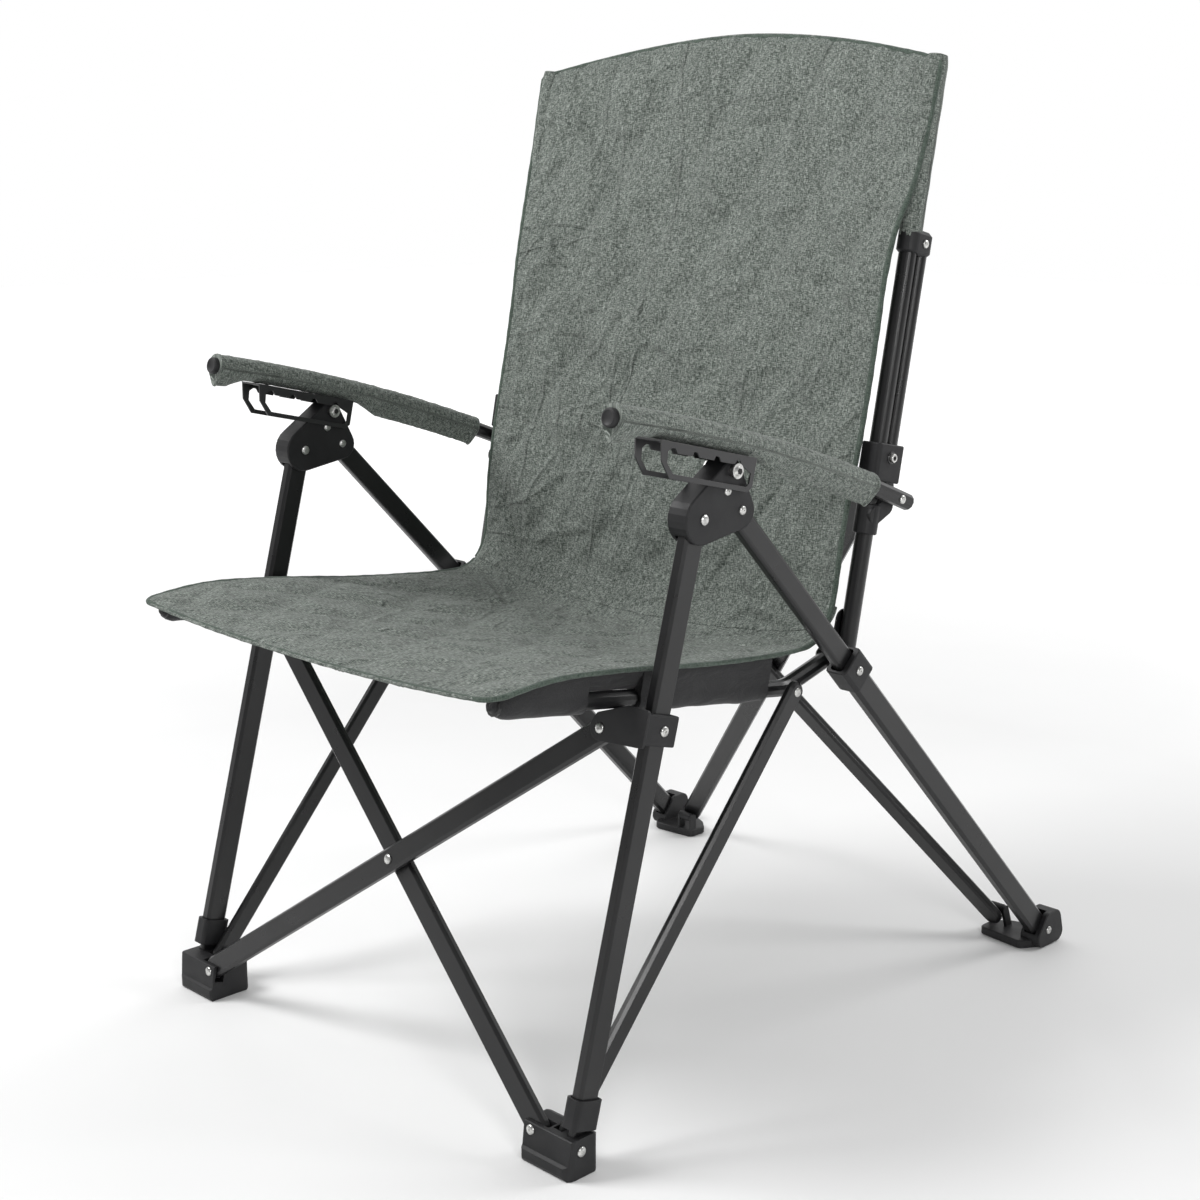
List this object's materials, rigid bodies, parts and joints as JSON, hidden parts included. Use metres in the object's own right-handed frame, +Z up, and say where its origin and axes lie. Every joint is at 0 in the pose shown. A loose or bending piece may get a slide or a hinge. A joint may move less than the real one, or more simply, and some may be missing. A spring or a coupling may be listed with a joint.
{
  "type": "folding camp chair",
  "caption": "Reclining folding camp chair with crossed tube legs, ratchet armrests and a quilted fabric seat and high back.",
  "frame": {"origin": "on the floor under the middle of the chair's box", "axes": "+Z up, the chair faces -Y, +X is the sitter's left"},
  "size_m": [0.662, 0.896, 1.0672],
  "materials": {
    "frame_paint": "black satin powder coat",
    "black_plastic": "fine-grained matte black",
    "rivet_steel": "plated, bright",
    "sheet_steel": "black semi-gloss paint",
    "seat_fabric": "grey-green melange weave, padded",
    "arm_fabric": "grey-green melange weave"
  },
  "bodies": {
    "cross_centre": {"front_cross_rivet": "rivet_steel"},
    "front_cross_left": {"front_cross_tube_left": "frame_paint"},
    "front_cross_right": {"front_cross_tube_right": "frame_paint"},
    "front_foot_left": {"front_foot_left": "black_plastic", "inner_leg_left": "frame_paint"},
    "side_strut_left": {"side_strut_left": "frame_paint"},
    "front_leg_left": {"cross_bracket_left": "black_plastic", "leg_collar_left": "black_plastic", "outer_leg_left": "frame_paint"},
    "rear_leg_left": {"hub_left": "black_plastic", "hub_rivet_left": "rivet_steel", "rear_leg_lower_left": "frame_paint", "rear_leg_upper_left": "frame_paint"},
    "seat_carriage_left": {"seat_carriage_left": "black_plastic", "seat_pivot_bolt_left": "rivet_steel"},
    "seat_rail_left": {"seat_panel": "seat_fabric", "seat_rail_left": "frame_paint"},
    "back_washer_left": {"back_washer_left": "rivet_steel"},
    "back_post_left": {"arm_bracket_left": "black_plastic", "back_panel": "seat_fabric", "back_post_left": "frame_paint"},
    "back_guide_left": {"guide_cap_left": "black_plastic", "guide_tube_left": "frame_paint"},
    "back_clamp_left": {"back_clamp_left": "black_plastic"},
    "ratchet_bolt_left": {"ratchet_bolt_left": "rivet_steel"},
    "arm_pin_left": {"arm_pin_left": "rivet_steel"},
    "armrest_left": {"arm_cover_left": "arm_fabric", "arm_tube_left": "frame_paint", "ratchet_channel_left": "sheet_steel"},
    "rear_foot_left": {"rear_foot_left": "black_plastic"},
    "rear_swivel_left": {"rear_swivel_left": "black_plastic"},
    "rear_cross_left": {"rear_cross_rivet": "rivet_steel", "rear_cross_tube_left": "frame_paint"},
    "front_foot_right": {"front_foot_right": "black_plastic", "inner_leg_right": "frame_paint"},
    "side_strut_right": {"side_strut_right": "frame_paint"},
    "front_leg_right": {"cross_bracket_right": "black_plastic", "leg_collar_right": "black_plastic", "outer_leg_right": "frame_paint"},
    "rear_leg_right": {"hub_right": "black_plastic", "hub_rivet_right": "rivet_steel", "rear_leg_lower_right": "frame_paint", "rear_leg_upper_right": "frame_paint"},
    "seat_carriage_right": {"seat_carriage_right": "black_plastic", "seat_pivot_bolt_right": "rivet_steel"},
    "seat_rail_right": {"seat_rail_right": "frame_paint"},
    "back_washer_right": {"back_washer_right": "rivet_steel"},
    "back_post_right": {"arm_bracket_right": "black_plastic", "back_post_right": "frame_paint"},
    "back_guide_right": {"guide_cap_right": "black_plastic", "guide_tube_right": "frame_paint"},
    "back_clamp_right": {"back_clamp_right": "black_plastic"},
    "ratchet_bolt_right": {"ratchet_bolt_right": "rivet_steel"},
    "arm_pin_right": {"arm_pin_right": "rivet_steel"},
    "armrest_right": {"arm_cover_right": "arm_fabric", "arm_tube_right": "frame_paint", "ratchet_channel_right": "sheet_steel"},
    "rear_foot_right": {"rear_foot_right": "black_plastic"},
    "rear_swivel_right": {"rear_swivel_right": "black_plastic"},
    "rear_cross_right": {"rear_cross_tube_right": "frame_paint"}
  },
  "joints": [
    {"name": "fold", "type": "hinge", "parent": "cross_centre", "child": "front_cross_left", "pos_m": [0, -0.32959, 0.221], "axis": [0, 0.9659, -0.2588], "range_deg": [0, 33.5], "deforming": ["seat_panel", "back_panel"]},
    {"name": "front_cross_right_fold", "type": "hinge", "parent": "cross_centre", "child": "front_cross_right", "pos_m": [0, -0.32959, 0.221], "axis": [0, -0.9659, 0.2588], "range_deg": [0, 33.57]},
    {"name": "recline", "type": "hinge", "parent": "back_washer_left", "child": "back_post_left", "pos_m": [0.288, 0.04704, 0.421], "axis": [-1, 0, 0], "range_deg": [0, 33]},
    {"name": "front_foot_left_swing", "type": "hinge", "parent": "front_cross_left", "child": "front_foot_left", "pos_m": [0.266, -0.37996, 0.033], "axis": [0, -0.9659, 0.2588], "range_deg": [0, 33.57]},
    {"name": "front_leg_left_rise", "type": "hinge", "parent": "front_cross_right", "child": "front_leg_left", "pos_m": [0.266, -0.27921, 0.409], "axis": [0, 0.9659, -0.2588], "range_deg": [0, 33.57]},
    {"name": "side_strut_left_swing", "type": "hinge", "parent": "front_foot_left", "child": "side_strut_left", "pos_m": [0.2918, -0.36096, 0.034], "axis": [1, 0, 0], "range_deg": [0, 18.08]},
    {"name": "rear_leg_left_close", "type": "hinge", "parent": "front_leg_left", "child": "rear_leg_left", "pos_m": [0.31, -0.21296, 0.6085], "axis": [-1, 0, 0], "range_deg": [0, 49.68]},
    {"name": "seat_carriage_left_slide", "type": "slide", "parent": "rear_leg_left", "child": "seat_carriage_left", "axis": [0, 0.6972, -0.7169], "range_m": [0, 0.11362]},
    {"name": "seat_rail_left_lift", "type": "hinge", "parent": "seat_carriage_left", "child": "seat_rail_left", "pos_m": [0.2672, 0.04704, 0.421], "axis": [-1, 0, 0], "range_deg": [0, 31.72]},
    {"name": "back_washer_left_turn", "type": "hinge", "parent": "seat_carriage_left", "child": "back_washer_left", "pos_m": [0.288, 0.04704, 0.421], "axis": [1, 0, 0], "range_deg": [0, 45.9]},
    {"name": "back_guide_left_slide", "type": "slide", "parent": "back_post_left", "child": "back_guide_left", "axis": [0, 0.1994, 0.9799], "range_m": [0, 0.15944]},
    {"name": "back_clamp_left_slide", "type": "slide", "parent": "back_guide_left", "child": "back_clamp_left", "axis": [0, 0.1994, 0.9799], "range_m": [0, 0.18437]},
    {"name": "ratchet_bolt_left_turn", "type": "hinge", "parent": "rear_leg_left", "child": "ratchet_bolt_left", "pos_m": [0.31, -0.17346, 0.6505], "axis": [-1, 0, 0], "range_deg": [0, 20.48]},
    {"name": "arm_pin_left_slide", "type": "slide", "parent": "ratchet_bolt_left", "child": "arm_pin_left", "axis": [0, 0.9729, -0.2313], "range_m": [0, 0.09327]},
    {"name": "armrest_left_tilt", "type": "hinge", "parent": "arm_pin_left", "child": "armrest_left", "pos_m": [0.31, -0.25329, 0.69803], "axis": [-1, 0, 0], "range_deg": [0, 4.91]},
    {"name": "rear_foot_left_swing", "type": "hinge", "parent": "rear_leg_left", "child": "rear_foot_left", "pos_m": [0.31, 0.41601, 0.01833], "axis": [1, 0, 0], "range_deg": [0, 13.85]},
    {"name": "rear_swivel_left_turn", "type": "hinge", "parent": "rear_foot_left", "child": "rear_swivel_left", "pos_m": [0.256, 0.40721, 0.03286], "axis": [-1, 0, 0], "range_deg": [0, 17.54]},
    {"name": "rear_cross_left_fold", "type": "hinge", "parent": "rear_swivel_left", "child": "rear_cross_left", "pos_m": [0.256, 0.40104, 0.03], "axis": [0, 0.907, 0.4212], "range_deg": [0, 24.5]},
    {"name": "front_foot_right_swing", "type": "hinge", "parent": "front_cross_right", "child": "front_foot_right", "pos_m": [-0.266, -0.37996, 0.033], "axis": [0, 0.9659, -0.2588], "range_deg": [0, 33.57]},
    {"name": "front_leg_right_rise", "type": "hinge", "parent": "front_cross_left", "child": "front_leg_right", "pos_m": [-0.266, -0.27921, 0.409], "axis": [0, -0.9659, 0.2588], "range_deg": [0, 33.57]},
    {"name": "side_strut_right_swing", "type": "hinge", "parent": "front_foot_right", "child": "side_strut_right", "pos_m": [-0.2918, -0.36096, 0.034], "axis": [1, 0, 0], "range_deg": [0, 18.08]},
    {"name": "rear_leg_right_close", "type": "hinge", "parent": "front_leg_right", "child": "rear_leg_right", "pos_m": [-0.31, -0.21296, 0.6085], "axis": [-1, 0, 0], "range_deg": [0, 49.68]},
    {"name": "seat_carriage_right_slide", "type": "slide", "parent": "rear_leg_right", "child": "seat_carriage_right", "axis": [0, 0.6972, -0.7169], "range_m": [0, 0.11362]},
    {"name": "seat_rail_right_lift", "type": "hinge", "parent": "seat_carriage_right", "child": "seat_rail_right", "pos_m": [-0.2672, 0.04704, 0.421], "axis": [-1, 0, 0], "range_deg": [0, 31.72]},
    {"name": "back_washer_right_turn", "type": "hinge", "parent": "seat_carriage_right", "child": "back_washer_right", "pos_m": [-0.288, 0.04704, 0.421], "axis": [1, 0, 0], "range_deg": [0, 45.9]},
    {"name": "back_post_right_recline", "type": "hinge", "parent": "back_washer_right", "child": "back_post_right", "pos_m": [-0.288, 0.04704, 0.421], "axis": [-1, 0, 0], "range_deg": [0, 33.07]},
    {"name": "back_guide_right_slide", "type": "slide", "parent": "back_post_right", "child": "back_guide_right", "axis": [0, 0.1994, 0.9799], "range_m": [0, 0.15944]},
    {"name": "back_clamp_right_slide", "type": "slide", "parent": "back_guide_right", "child": "back_clamp_right", "axis": [0, 0.1994, 0.9799], "range_m": [0, 0.18437]},
    {"name": "ratchet_bolt_right_turn", "type": "hinge", "parent": "rear_leg_right", "child": "ratchet_bolt_right", "pos_m": [-0.31, -0.17346, 0.6505], "axis": [-1, 0, 0], "range_deg": [0, 20.48]},
    {"name": "arm_pin_right_slide", "type": "slide", "parent": "ratchet_bolt_right", "child": "arm_pin_right", "axis": [0, 0.9729, -0.2313], "range_m": [0, 0.09327]},
    {"name": "armrest_right_tilt", "type": "hinge", "parent": "arm_pin_right", "child": "armrest_right", "pos_m": [-0.31, -0.25329, 0.69803], "axis": [-1, 0, 0], "range_deg": [0, 4.91]},
    {"name": "rear_foot_right_swing", "type": "hinge", "parent": "rear_leg_right", "child": "rear_foot_right", "pos_m": [-0.31, 0.41601, 0.01833], "axis": [1, 0, 0], "range_deg": [0, 13.85]},
    {"name": "rear_swivel_right_turn", "type": "hinge", "parent": "rear_foot_right", "child": "rear_swivel_right", "pos_m": [-0.256, 0.39487, 0.02714], "axis": [-1, 0, 0], "range_deg": [0, 17.54]},
    {"name": "rear_cross_right_fold", "type": "hinge", "parent": "rear_swivel_right", "child": "rear_cross_right", "pos_m": [-0.256, 0.40104, 0.03], "axis": [0, -0.907, -0.4212], "range_deg": [0, 24.5]}
  ],
  "couplings": [
    {"joint": "front_cross_right_fold", "follows": "fold", "ratio": 1},
    {"joint": "front_foot_left_swing", "follows": "fold", "ratio": 1},
    {"joint": "front_leg_left_rise", "follows": "fold", "ratio": 1},
    {"joint": "side_strut_left_swing", "follows": "fold", "ratio": 0.5385},
    {"joint": "rear_leg_left_close", "follows": "fold", "ratio": 1.48},
    {"joint": "seat_carriage_left_slide", "follows": "fold", "m_per_rad": 0.19395},
    {"joint": "seat_rail_left_lift", "follows": "fold", "ratio": 0.945},
    {"joint": "back_washer_left_turn", "follows": "fold", "ratio": 1.3675},
    {"joint": "back_guide_left_slide", "follows": "fold", "m_per_rad": 0.27215},
    {"joint": "back_clamp_left_slide", "follows": "recline", "m_per_rad": 0.31947},
    {"joint": "ratchet_bolt_left_turn", "follows": "fold", "ratio": 0.61},
    {"joint": "arm_pin_left_slide", "follows": "recline", "m_per_rad": 0.16162},
    {"joint": "armrest_left_tilt", "follows": "recline", "ratio": 0.14849},
    {"joint": "rear_foot_left_swing", "follows": "fold", "ratio": 0.4125},
    {"joint": "rear_swivel_left_turn", "follows": "recline", "ratio": 0.5303},
    {"joint": "rear_cross_left_fold", "follows": "fold", "ratio": 0.73},
    {"joint": "front_foot_right_swing", "follows": "fold", "ratio": 1},
    {"joint": "front_leg_right_rise", "follows": "fold", "ratio": 1},
    {"joint": "side_strut_right_swing", "follows": "fold", "ratio": 0.5385},
    {"joint": "rear_leg_right_close", "follows": "fold", "ratio": 1.48},
    {"joint": "seat_carriage_right_slide", "follows": "fold", "m_per_rad": 0.19395},
    {"joint": "seat_rail_right_lift", "follows": "fold", "ratio": 0.945},
    {"joint": "back_washer_right_turn", "follows": "fold", "ratio": 1.3675},
    {"joint": "back_post_right_recline", "follows": "recline", "ratio": 1},
    {"joint": "back_guide_right_slide", "follows": "fold", "m_per_rad": 0.27215},
    {"joint": "back_clamp_right_slide", "follows": "recline", "m_per_rad": 0.31947},
    {"joint": "ratchet_bolt_right_turn", "follows": "fold", "ratio": 0.61},
    {"joint": "arm_pin_right_slide", "follows": "recline", "m_per_rad": 0.16162},
    {"joint": "armrest_right_tilt", "follows": "recline", "ratio": 0.14849},
    {"joint": "rear_foot_right_swing", "follows": "fold", "ratio": 0.4125},
    {"joint": "rear_swivel_right_turn", "follows": "recline", "ratio": 0.5303},
    {"joint": "rear_cross_right_fold", "follows": "fold", "ratio": 0.73}
  ]
}
